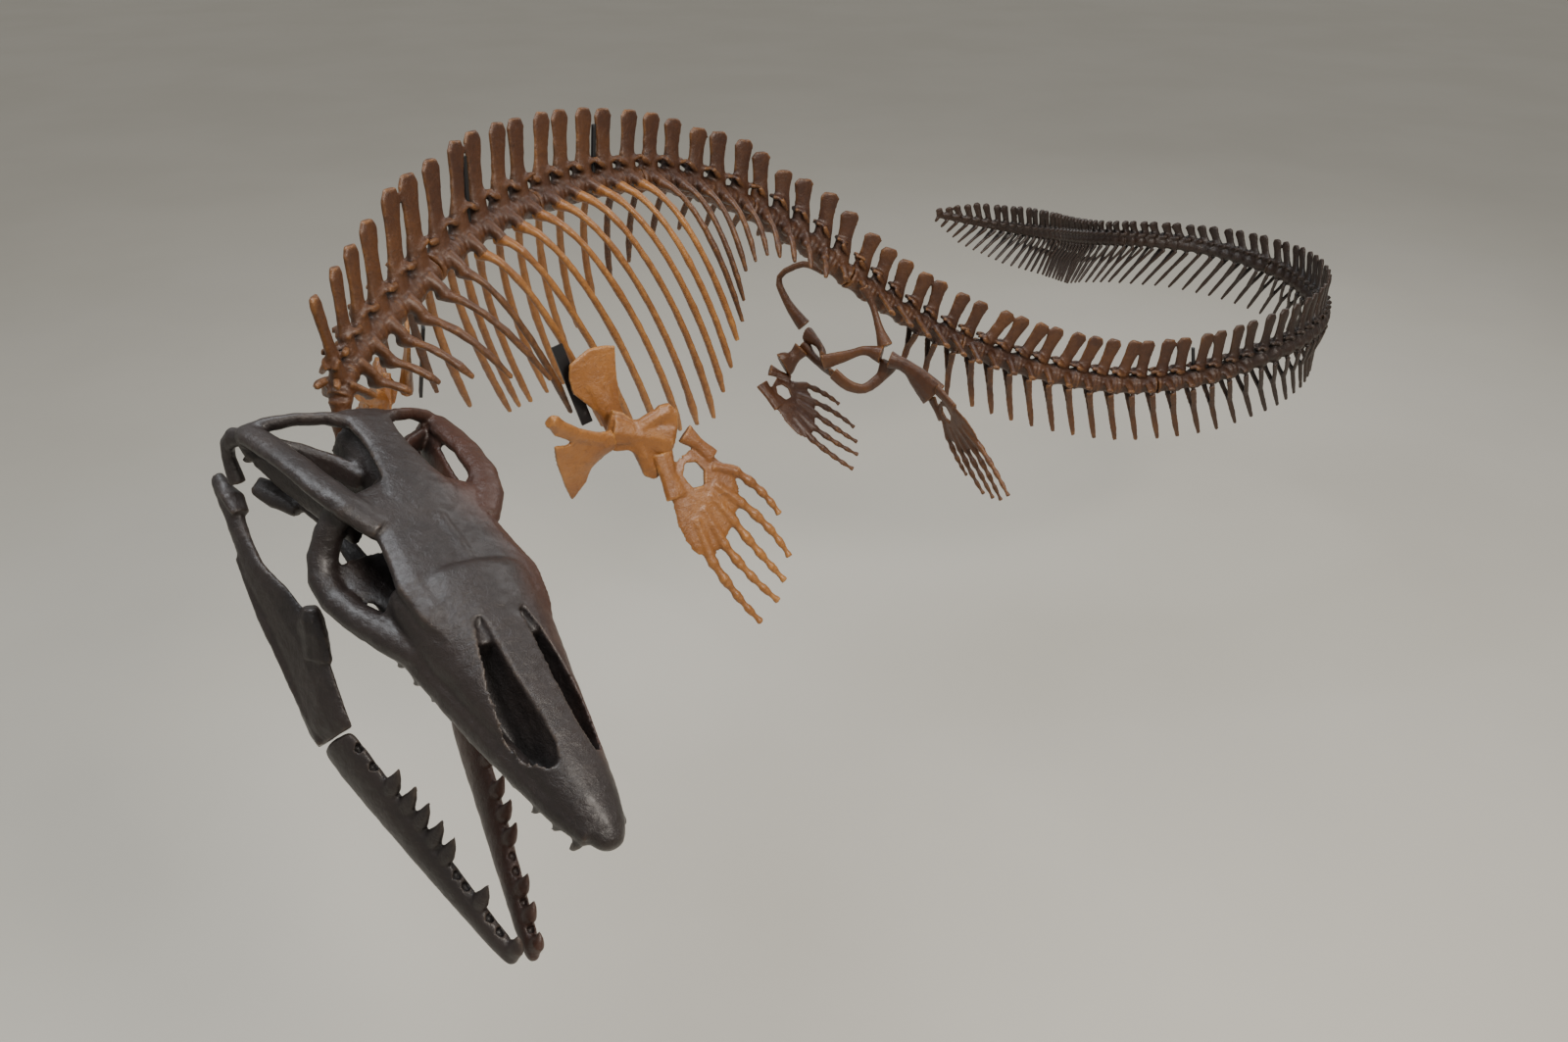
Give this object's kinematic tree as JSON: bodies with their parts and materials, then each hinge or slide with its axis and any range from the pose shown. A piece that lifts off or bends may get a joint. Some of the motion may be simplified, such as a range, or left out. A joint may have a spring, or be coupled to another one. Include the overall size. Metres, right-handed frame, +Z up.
{
  "type": "mounted mosasaur skeleton",
  "caption": "Swimming sea lizard skeleton with open jaws, rib cage, four paddles and a long tail that turns back, on hidden steel studs.",
  "frame": {"origin": "middle of the flat top of the hanger stud in the back, between two neural spines", "axes": "+Z up, out of the stud's top; the skull points towards +X and -Y, and the tail runs off to +X before it turns back"},
  "size_m": [2.4355, 2.7279, 0.9161],
  "materials": {
    "bone": "stained fossil bone, sealed, low sheen",
    "golden_bone": "golden ochre fossil bone under a semi-gloss sealer",
    "dark_bone": "nearly black fossil bone under a semi-gloss sealer",
    "black_steel": "black painted steel"
  },
  "bodies": {
    "root": {"skull": "dark_bone", "quadrate_left": "dark_bone", "quadrate_right": "dark_bone", "mandible_rear_left": "dark_bone", "mandible_rear_right": "dark_bone", "dentary_left": "dark_bone", "dentary_right": "dark_bone", "neck_vertebrae": "bone", "back_vertebrae_front": "bone", "back_vertebrae_middle": "bone", "back_vertebrae_rear": "bone", "loin_vertebrae": "bone", "hip_vertebrae": "bone", "tail_vertebrae_root": "bone", "tail_vertebrae_middle": "bone", "tail_vertebrae_bend": "bone", "tail_vertebrae_far": "bone", "tail_vertebrae_return": "bone", "tail_vertebrae_tip": "bone", "rib_1_left": "golden_bone", "rib_2_left": "golden_bone", "rib_3_left": "golden_bone", "rib_4_left": "golden_bone", "rib_5_left": "golden_bone", "rib_6_left": "golden_bone", "rib_7_left": "golden_bone", "rib_8_left": "golden_bone", "rib_9_left": "golden_bone", "rib_1_right": "golden_bone", "rib_2_right": "golden_bone", "rib_3_right": "golden_bone", "rib_4_right": "golden_bone", "rib_5_right": "golden_bone", "rib_6_right": "golden_bone", "rib_7_right": "golden_bone", "rib_8_right": "golden_bone", "rib_9_right": "golden_bone", "scapula_left": "golden_bone", "scapula_right": "golden_bone", "coracoid_left": "golden_bone", "coracoid_right": "golden_bone", "humerus_left": "golden_bone", "humerus_right": "golden_bone", "fore_paddle_left": "golden_bone", "fore_paddle_right": "golden_bone", "shoulder_strut_left": "black_steel", "shoulder_strut_right": "black_steel", "ilium_left": "bone", "ilium_right": "bone", "pubis_left": "bone", "pubis_right": "bone", "ischium_left": "bone", "ischium_right": "bone", "femur_left": "bone", "femur_right": "bone", "hind_paddle_left": "bone", "hind_paddle_right": "bone", "hanger_shoulder": "black_steel", "hanger_back": "black_steel", "hanger_tail": "black_steel"}
  },
  "joints": []
}
